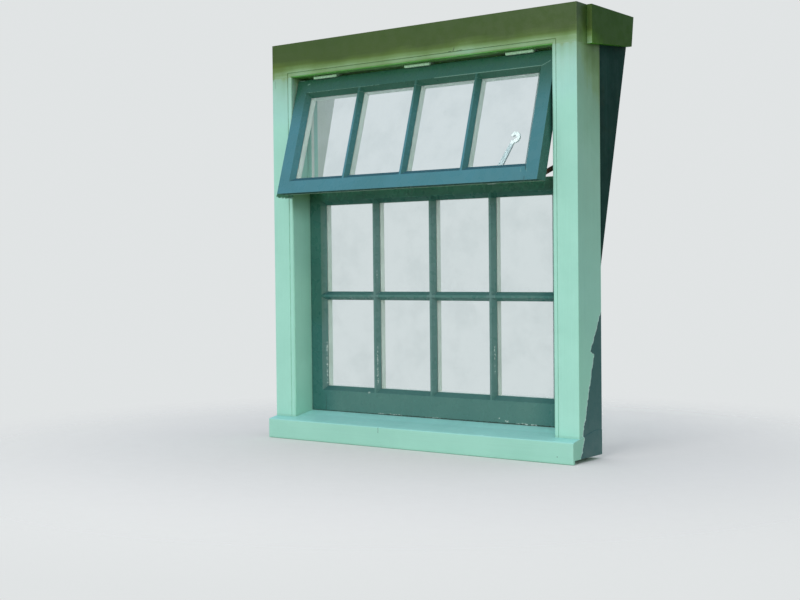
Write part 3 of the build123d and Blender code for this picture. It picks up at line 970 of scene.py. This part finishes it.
# %% [markdown]
# ## White on the room side
#
# Behind the glass the sashes are white, with a green cast that is painted light, as from
# green light through the glass. That side is dusted and stays dry, so it only has brush
# marks and grey dirt with painted shade in its corners.

# %% Mix the white
# The green cast of these whites is painted light, as from green light through the glass.
WHITE_GREEN_LIT = paint_of(0.770, 0.820, 0.745)
WHITE_GREEN_LIT_DEEP = paint_of(0.670, 0.745, 0.640)
# Grey dirt and painted shade in the corners.
WHITE_DIRT_AND_SHADE = paint_of(0.300, 0.300, 0.240)


def room_paint(name, grain, turn=unturned):
    """White gloss as indoors."""
    material, tree, shader = new_finish(name)
    place = where(tree, turn)
    brush = place_group(tree, brush_group, Vector=place, Grain=grain)
    dirt_and_shade = place_group(tree, dirt_and_shade_group, Vector=place, Reach=9 * MM, Amount=0.4)["Dirt and shade"]
    colour = over(tree, brush["Tone"], WHITE_GREEN_LIT_DEEP, WHITE_GREEN_LIT)
    colour = over(tree, dirt_and_shade, colour, WHITE_DIRT_AND_SHADE)
    rough = fade(tree, brush["Gloss"], 0.0, 1.0, 0.28, 0.42)
    set_finish(tree, shader, colour, rough, brush["Height"], 0.2 * MM)
    return material


room_upright = room_paint("room_paint_upright", UPRIGHT)
room_level = room_paint("room_paint_level", LEVEL)
room_open = room_paint("room_paint_open_sash", LEVEL, closing)
print("white:", room_upright.name, room_level.name, room_open.name)

# %% [markdown]
# ## Dark cheeks
#
# The boards that close the sides of the box are nearly black green. Their paint is flatter
# and the grain of the boards has worked through it, so the ridges run along the board and
# stand higher than brush marks do.

# %% Mix the cheeks' green
CHEEK_DEEP = paint_of(0.008, 0.034, 0.026)
CHEEK_WORN = paint_of(0.014, 0.054, 0.042)
CHEEK_EDGE = paint_of(0.075, 0.150, 0.130)
CHEEK_DIRT = paint_of(0.030, 0.045, 0.020)
BOARD_GRAIN = (200, 200, 3)
FLAT_GLOSS = 0.05


def cheek_paint():
    """Flat dark green over raised grain."""
    material, tree, shader = new_finish("cheek_paint_boards")
    place = where(tree)
    grain = place_group(tree, brush_group, Vector=place, Grain=BOARD_GRAIN)
    wear = place_group(tree, wear_group, Vector=place, Radius=2.5 * MM, Patchiness=0.5)["Edge"]
    bloom = fade(tree, cloud(tree, place, 12.0, 5.0, 0.65), 0.5, 0.8, 0.0, 0.6)
    colour = layered(tree, over(tree, grain["Tone"], CHEEK_DEEP, CHEEK_WORN),
                     (bloom, CHEEK_DIRT, COVER),
                     (times(tree, wear, 0.6), CHEEK_EDGE, COVER))
    rough = fade(tree, grain["Gloss"], 0.0, 1.0, 0.5, 0.7)
    set_finish(tree, shader, colour, rough, grain["Height"], 0.5 * MM)
    shader.inputs["Specular IOR Level"].default_value = FLAT_GLOSS
    return material


cheek_boards = cheek_paint()
print("cheeks:", cheek_boards.name)

# %% [markdown]
# ## Ironwork
#
# The hinges were painted over with the frame, so they share its green, with dirt and painted
# shade between the knuckles. The catch is white enamel, chipped at its edges to dark iron;
# all but its tail is painted a bluish grey, which is painted shade and sky reflection. The
# stay has lost its paint: it is brown with rust, and only its pins are rubbed bright.

# %% Mix the ironwork's finishes
HINGE_GREEN = paint_of(0.360, 0.640, 0.400)
HINGE_PALE = paint_of(0.480, 0.740, 0.520)
ENAMEL = paint_of(0.900, 0.900, 0.890)
# Painted shade and sky reflection: a bluish grey for the catch's stem.
ENAMEL_SHADE_AND_SKY = paint_of(0.440, 0.500, 0.520)
ENAMEL_SHADE_AND_SKY_PALE = paint_of(0.560, 0.610, 0.630)
# Around the tail the catch keeps its white enamel.
CATCH_TAIL = [
    ((307.6, 77.5, 794.4), (307.8, 77.5, 794.6), 19, 2),
]
IRON = paint_of(0.055, 0.048, 0.045)
STAY_BROWN = paint_of(0.045, 0.028, 0.024)
STAY_RUST = paint_of(0.170, 0.062, 0.030)
RUST_METALLIC = 0.3


def iron_finish(name, low, high, chip, patchiness, roughness, rough_spread, depth, turn=unturned,
                kept_white=()):
    """Painted or rusty iron: two mixed colours, chips at the edges, and grime with painted shade in
    the gaps.
    """
    material, tree, shader = new_finish(name)
    place = where(tree, turn)
    patch = cloud(tree, place, 180.0, 4.0, 0.6)
    wear = place_group(tree, wear_group, Vector=place, Radius=0.8 * MM,
                       Patchiness=patchiness)["Edge"]
    dirt_and_shade = place_group(tree, dirt_and_shade_group, Vector=place, Reach=4 * MM, Amount=0.7)["Dirt and shade"]
    colour = over(tree, fade(tree, patch, 0.38, 0.62), low, high)
    if kept_white:
        colour = over(tree, marks(tree, place, kept_white, 0.35), colour, ENAMEL)
    colour = layered(tree, colour, (wear, chip, COVER), (dirt_and_shade, CRACK_AND_SHADE, COVER))
    rough = fade(tree, patch, 0.3, 0.7, roughness, roughness + rough_spread)
    grit = cloud(tree, place, 700.0, 3.0, 0.6)
    height = calc(tree, "SUBTRACT", calc(tree, "MULTIPLY_ADD", grit, 0.5, patch), wear)
    set_finish(tree, shader, colour, rough, height, depth)
    return material


hinge_finish = iron_finish("hinge_paint_brushed", HINGE_GREEN, HINGE_PALE, HINGE_PALE, 0.5,
                           0.32, 0.15, 0.15 * MM)
catch_finish = iron_finish("catch_enamel", ENAMEL_SHADE_AND_SKY, ENAMEL_SHADE_AND_SKY_PALE, IRON, 0.66, 0.16, 0.1,
                           0.06 * MM, closing, CATCH_TAIL)
stay_finish = iron_finish("stay_rust", STAY_BROWN, STAY_RUST, IRON, 0.55, 0.5, 0.3, 0.2 * MM)
stay_finish.node_tree.nodes["Principled BSDF"].inputs["Metallic"].default_value = RUST_METALLIC
print("ironwork:", hinge_finish.name, catch_finish.name, stay_finish.name)

# %% [markdown]
# The rubbed pins are bright steel. Their roughness varies a little with fine scratches, which
# is all that a bright metal needs.

# %% Mix the bright steel
STEEL_DULL = paint_of(0.46, 0.44, 0.42)
STEEL_BRIGHT = paint_of(0.66, 0.64, 0.60)
SCRATCHES = (300, 2600, 2600)


def bright_steel():
    """Rubbed steel."""
    material, tree, shader = new_finish("rubbed_steel")
    scratch = cloud(tree, move(tree, "MULTIPLY", where(tree), SCRATCHES), 1.0, 3.0)
    colour = over(tree, fade(tree, scratch, 0.3, 0.7), STEEL_DULL, STEEL_BRIGHT)
    rough = fade(tree, scratch, 0.3, 0.7, 0.22, 0.42)
    set_finish(tree, shader, colour, rough, scratch, 0.03 * MM)
    shader.inputs["Metallic"].default_value = 1.0
    return material


pin_steel = bright_steel()
print("bright steel:", pin_steel.name)

# %% [markdown]
# ## Drawn glass
#
# Old panes were drawn, not floated, so they are faintly wavy: a very shallow bump bends
# what is seen in them. The glass itself is plain: full transmission and a little green,
# with a thin dusty film. For the light of the lamp it is an open window, or else a ray
# tracer would leave everything behind it in a hard shadow.

# %% Mix the glass
GLASS_CLEAR = paint_of(0.860, 0.925, 0.930)
GLASS_FILM = paint_of(0.790, 0.860, 0.865)
GLASS_SHADOW = paint_of(0.800, 0.860, 0.860)
GLASS_IOR = 1.5
RIPPLES = (9, 9, 4)
NO_TINT = paint_of(1.0, 1.0, 1.0)


def let_through(tree, shader, share, colour=NO_TINT):
    """Lets a share of the rays pass straight through, tinted by the colour."""
    clear = put(tree, "BsdfTransparent", Color=colour)
    mixed = put(tree, "MixShader", Fac=share)
    tree.links.new(shader.outputs[0], mixed.inputs[1])
    tree.links.new(clear.outputs[0], mixed.inputs[2])
    tree.links.new(mixed.outputs[0], tree.nodes["Material Output"].inputs["Surface"])


def drawn_glass(name, turn=unturned):
    """Clear glass with a slow ripple."""
    material, tree, shader = new_finish(name)
    place = where(tree, turn)
    film = fade(tree, cloud(tree, place, 9.0, 5.0, 0.6), 0.4, 0.7)
    ripple = cloud(tree, move(tree, "MULTIPLY", place, RIPPLES), 1.0, 1.0)
    set_finish(tree, shader, over(tree, film, GLASS_CLEAR, GLASS_FILM),
               fade(tree, film, 0.0, 1.0, 0.0, 0.03), ripple, 1.2 * MM, 0.25)
    shader.inputs["Transmission Weight"].default_value = 1.0
    shader.inputs["IOR"].default_value = GLASS_IOR
    let_through(tree, shader, put(tree, "LightPath").outputs["Is Shadow Ray"], GLASS_SHADOW)
    return material


lower_glass = drawn_glass("drawn_glass_lower")
upper_glass = drawn_glass("drawn_glass_upper", closing)
panes = {"lower_panes_1": lower_glass, "lower_panes_2": lower_glass,
         "upper_panes_1": upper_glass}
for node, glass in panes.items():
    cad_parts[node].material_slots[0].material = glass
print("glass on", ", ".join(panes))

# %% [markdown]
# ## The frame's timber
#
# Head, jambs and sill keep the shape of their nodes, with a softened arris. Their faces
# towards the room are white like the sashes' backs, so each face picks its finish by the
# way it looks.

# %% Dress the frame
ARRIS = 1.1 * MM
FINE_ARRIS = 0.5 * MM


def towards_room(middle, normal):
    """1 for the faces at the frame's back."""
    return int(normal.y > 0.9 and middle.y > JAMB_DEPTH - 1 * MM)


for node, edge, green, white in (("head", FINE_ARRIS, frame_level, room_level),
                                 ("sill", ARRIS, frame_level, room_level),
                                 ("left_jamb", FINE_ARRIS, frame_upright, room_upright),
                                 ("right_jamb", FINE_ARRIS, frame_upright, room_upright)):
    piece = dress(node, "painted", edge, [green, white], "frame_paint", towards_room)
    print(piece.name, len(piece.data.polygons), "faces")
for node in ("left_return", "right_return"):
    dress(node, "painted", ARRIS, [return_finish], "frame_paint")

# %% [markdown]
# The cheeks are dark outside and white towards the room. The stops are the frame's green
# where they face the weather, and white elsewhere.

# %% Dress the cheeks and stops
def inner_side(middle, normal):
    """1 for the faces that look across the opening."""
    return int(normal.x * middle.x < 0 and abs(normal.x) > 0.9)


def weather_side(middle, normal):
    """1 for the faces that look outside."""
    return int(normal.y < -0.9)


for node in ("left_cheek", "right_cheek"):
    dress(node, "painted", ARRIS, [cheek_boards, room_upright], "cheek_paint", inner_side)
for node, white, green in (("left_stop", room_upright, frame_upright),
                           ("right_stop", room_upright, frame_upright),
                           ("head_stop", room_level, frame_level)):
    dress(node, "painted", ARRIS, [white, green], "room_paint", weather_side)
print("cheeks, returns and stops are dressed")

# %% [markdown]
# ## The sashes
#
# A sash is dark green outside, white behind the glass. The paint changes colour on the
# glass line, so a face belongs to the room side if it lies behind the glass and doesn't
# look out of the sash's edge. The rule is worked out with the sash closed.

# %% Dress the sashes
EDGE_TOLERANCE = 0.2 * MM
UNDERSIDE = 12 * MM


def sash_rule(front, turn, half_width, low, high):
    """A rule that gives 1 for the faces on the room side of a sash."""
    def choose(middle, normal):
        middle = turn @ middle
        normal = turn.to_3x3() @ normal
        outer = (abs(middle.x) > half_width - EDGE_TOLERANCE
                 or middle.z < low + UNDERSIDE and normal.z < -0.5
                 or middle.z > high - EDGE_TOLERANCE)
        behind = middle.y > front + GLASS_BACK - EDGE_TOLERANCE
        return int(behind and not outer or normal.y > 0.9 and behind)
    return choose


# front, turn, half the width, lower and upper edge, and the finish on the room side
sashes = {
    "lower": (LOWER_FRONT, unturned, 419.5 * MM, 62.867 * MM, 691.867 * MM, room_level),
    "upper": (UPPER_FRONT, closing, 417 * MM, 662.867 * MM, 998.867 * MM, room_open),
}
members = {"left_stile": "upright", "right_stile": "upright", "bottom_rail": "level",
           "top_rail": "level", "bar_1": "upright", "bar_2": "upright", "bar_3": "upright",
           "cross_bar": "level"}
for light, (front, turn, half_width, low, high, white) in sashes.items():
    rule = sash_rule(front, turn, half_width, low, high)
    for member, way in members.items():
        node = f"{light}_{member}"
        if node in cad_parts:
            dress(node, "painted", FINE_ARRIS, [sash_finish[light, way], white], "sash_paint",
                  rule)
    print(light, "sash is dressed")

# %% [markdown]
# ## Hinges, stay and catch
#
# The iron pieces are small, so their edges get a finer bevel. The catch's lever is forged,
# nearly round in section: a wide bevel of three steps turns its flat sides into that.
# The pins of the stay are picked out in bright steel by their place.

# %% Dress the ironwork
PLATE_EDGE = 0.25 * MM
LEVER_EDGE = 1.9 * MM
CATCH_EDGE = 0.6 * MM
PIN_RADIUS = 3 * MM
STAY_FOOT = Vector((0, 50, 715.867)) * MM
STAY_HEAD = opened @ Vector((0, 76 * MM, 694.867 * MM))


def on_pin(middle, normal):
    """1 for the faces of a stay's pin."""
    near = min((middle - pin).yz.length for pin in (STAY_FOOT, STAY_HEAD))
    return int(near < PIN_RADIUS + EDGE_TOLERANCE)


for side in ("left", "middle", "right"):
    for part in ("frame_leaf", "sash_leaf", "pin"):
        dress(f"{side}_hinge_{part}", "painted", PLATE_EDGE, [hinge_finish], "hinge_paint",
              segments=1)
dress("catch_lever", "enamelled", LEVER_EDGE, [catch_finish], "catch_paint", segments=3)
dress("catch_plate", "enamelled", CATCH_EDGE, [catch_finish], "catch_paint")
for node in ("stay_arm", "stay_sash_bracket", "stay_jamb_bracket"):
    dress(node, "rusty", PLATE_EDGE, [stay_finish, pin_steel], "stay_steel", on_pin)
print("ironwork is dressed")

# %% [markdown]
# The catch and the stay's brackets are fixed with slotted screws. A head is a thin disc with
# two half discs on it, and the gap between them is the slot.

# %% Shape a screw's head
HEAD_RADIUS = 2.2 * MM
HEAD_RISE = 0.5 * MM
HEAD_SUNK = 0.1 * MM
SLOT_WIDTH = 0.7 * MM
ARC_STEPS = 12


def arc_points(start, sweep, steps):
    """Points of a screw head's rim, one more than there are steps."""
    angles = [start + sweep * step / steps for step in range(steps + 1)]
    return [(HEAD_RADIUS * cos(angle), HEAD_RADIUS * sin(angle)) for angle in angles]


def add_slab(shape, outline, low, high, turn):
    """A slab between two heights over an outline."""
    corners = [shape.verts.new(turn @ Vector((x, y, low))) for x, y in outline]
    base = shape.faces.new(corners)
    raised = bmesh.ops.extrude_face_region(shape, geom=[base])["geom"]
    top = [item for item in raised if isinstance(item, bmesh.types.BMVert)]
    bmesh.ops.translate(shape, verts=top, vec=turn.to_3x3() @ Vector((0, 0, high - low)))


def slotted_screw(name, turn, finish, slot):
    """A screw head that looks along the turned Z, at the turned origin."""
    shape = bmesh.new()
    add_slab(shape, arc_points(0, 2 * pi, 2 * ARC_STEPS)[:-1], -HEAD_SUNK, HEAD_RISE / 2, turn)
    start = asin(SLOT_WIDTH / 2 / HEAD_RADIUS)
    for side in (0, pi):
        add_slab(shape, arc_points(side + start, pi - 2 * start, ARC_STEPS),
                 HEAD_RISE / 2, HEAD_RISE, turn)
    bmesh.ops.recalc_face_normals(shape, faces=shape.faces)
    return finish_piece(name, shape, [finish], slot)


print("a screw's head is", 2 * HEAD_RADIUS, "m wide")

# %% [markdown]
# Each plate has one screw above and one below its middle. The places on the upper sash are
# given as if it were closed, and its turn carries them along. No two slots stop at the same
# angle on a plate, as nobody drives screws to match.

# %% Drive the screws
SASH_BACK = 69
PLATE = 2.5
SCREW_STEP = 11.8

# what carries the plate, its middle in mm, how it looks, its slots' angles and its finish
room_facing = Matrix.Rotation(-pi / 2, 4, "X")
across_facing = Matrix.Rotation(-pi / 2, 4, "Y")
plates = [
    (opened, (262.5, SASH_BACK + PLATE, 687.867), room_facing, (0.5, 1.9),
     catch_finish, "catch_paint"),
    (opened, (394.5, SASH_BACK + PLATE, 694.867), room_facing, (0.5, 1.9),
     stay_finish, "stay_steel"),
    (unturned, (417.5, 50, 715.867), across_facing, (0.2, 1.2), stay_finish, "stay_steel"),
]
screws = 0
for carried, (x, y, z), looking, angles, finish, slot in plates:
    for step, angle in zip((-SCREW_STEP, SCREW_STEP), angles):
        spot = Matrix.Translation((x * MM, y * MM, (z + step) * MM))
        screws += 1
        slotted_screw(f"screw_{screws}", carried @ spot @ looking
                      @ Matrix.Rotation(angle, 4, "Z"), finish, slot)
print("screws:", screws)

# %% [markdown]
# ## Floor, light and camera
#
# The window stands on a pale floor, which catches its shadow and throws a little light up
# at it. The floor is one large square. Its edge would draw a line across the picture, so the
# finish lets more and more rays through, and the floor fades into the backdrop.

# %% Set the floor
FLOOR_HEIGHT = -10 * MM
FLOOR_REACH = 30.0
FLOOR_FADES = 0.55
FLOOR_ENDS = 1.60
FLOOR_DARK = paint_of(0.77, 0.75, 0.72)
FLOOR_LIGHT = paint_of(0.80, 0.78, 0.75)


def floor_finish():
    """Pale floor that fades into the surround."""
    material, tree, shader = new_finish("pale_floor")
    place = where(tree)
    plug(tree, shader.inputs["Base Color"],
         over(tree, cloud(tree, place, 30.0, 4.0), FLOOR_DARK, FLOOR_LIGHT))
    shader.inputs["Roughness"].default_value = 0.9
    shader.inputs["Specular IOR Level"].default_value = 0.0
    away = move(tree, "LENGTH", place, out="Value")
    let_through(tree, shader, fade(tree, away, FLOOR_FADES, FLOOR_ENDS))
    return material


shape = bmesh.new()
bmesh.ops.create_grid(shape, x_segments=1, y_segments=1, size=FLOOR_REACH)
bmesh.ops.translate(shape, verts=shape.verts, vec=(0, 0, FLOOR_HEIGHT))
floor_mesh = bpy.data.meshes.new("floor")
shape.to_mesh(floor_mesh)
shape.free()
floor_mesh.materials.append(floor_finish())
floor = bpy.data.objects.new("floor", floor_mesh)
bpy.context.scene.collection.objects.link(floor)
print("floor at", FLOOR_HEIGHT)

# %% [markdown]
# The light is soft: a dim surround that is a little cooler from above, and one large lamp
# from the front. Gloss mirrors a surround of its own, blue from above and dim from the
# level. What the camera sees, also through the glass, is one plain pale grey. The Light Path
# node tells the kinds of ray apart, so one world can be all three.

# %% Set the light
BACKDROP = paint_of(0.750, 0.775, 0.780)
SURROUND_ABOVE = paint_of(1.15, 1.26, 1.42)
SURROUND_BELOW = paint_of(0.70, 0.71, 0.69)
SURROUND_LEVEL = 0.62
MIRRORED_ABOVE = paint_of(0.46, 0.62, 0.88)
MIRRORED_BELOW = paint_of(0.30, 0.34, 0.33)
KEY_PLACE = Vector((0.5, -3.6, 2.0))
KEY_AIM = Vector((0, 0, 0.55))
KEY_SIZE = 2.2
KEY_POWER = 75
KEY_COLOUR = (1.0, 0.985, 0.96)

world = bpy.data.worlds.new("surround")
bpy.context.scene.world = world
world.use_nodes = True
tree = world.node_tree
upwards = split(tree, put(tree, "TexCoord").outputs["Generated"])["Z"]
dim = over(tree, fade(tree, upwards, 0.0, 0.75), SURROUND_BELOW, SURROUND_ABOVE)
mirrored = over(tree, fade(tree, upwards, 0.0, 0.6), MIRRORED_BELOW, MIRRORED_ABOVE)
ray = put(tree, "LightPath").outputs
seen = calc(tree, "MAXIMUM", ray["Is Camera Ray"], ray["Is Transmission Ray"])
plain = calc(tree, "MAXIMUM", seen, ray["Is Glossy Ray"])
surround = tree.nodes["Background"]
lit = over(tree, ray["Is Glossy Ray"], dim, mirrored)
plug(tree, surround.inputs["Color"], over(tree, seen, lit, BACKDROP))
plug(tree, surround.inputs["Strength"], fade(tree, plain, 0.0, 1.0, SURROUND_LEVEL, 1.0))

key_data = bpy.data.lights.new("key", "AREA")
key_data.size = KEY_SIZE
key_data.energy = KEY_POWER
key_data.color = KEY_COLOUR
key = bpy.data.objects.new("key", key_data)
key.location = KEY_PLACE
key.rotation_mode = "QUATERNION"
key.rotation_quaternion = (KEY_AIM - KEY_PLACE).to_track_quat("-Z", "Y")
key.visible_camera = False
bpy.context.scene.collection.objects.link(key)
print("light is set")

# %% [markdown]
# The camera stands to the right of the window, a little below its middle, turned towards
# it. The place and the turn come from lining up the frame's corners with the reference
# photograph, and the lens from how fast its lines run together.

# %% Set the camera
CAMERA_PLACE = Vector((2016.0, -2758.6, 467.2)) * MM
CAMERA_TURN = 0.6418
CAMERA_TILT = -0.0247
CAMERA_ROLL = -0.0104
LENS = 58.5

camera_data = bpy.data.cameras.new("camera")
camera_data.lens = LENS
camera_data.sensor_width = 36.0
camera = bpy.data.objects.new("camera", camera_data)
camera.matrix_world = (Matrix.Translation(CAMERA_PLACE) @ Matrix.Rotation(CAMERA_TURN, 4, "Z")
                       @ Matrix.Rotation(pi / 2 + CAMERA_TILT, 4, "X")
                       @ Matrix.Rotation(CAMERA_ROLL, 4, "Z"))
bpy.context.scene.collection.objects.link(camera)
bpy.context.scene.camera = camera
bpy.context.scene.view_settings.view_transform = "Standard"
print("camera at", camera.location)
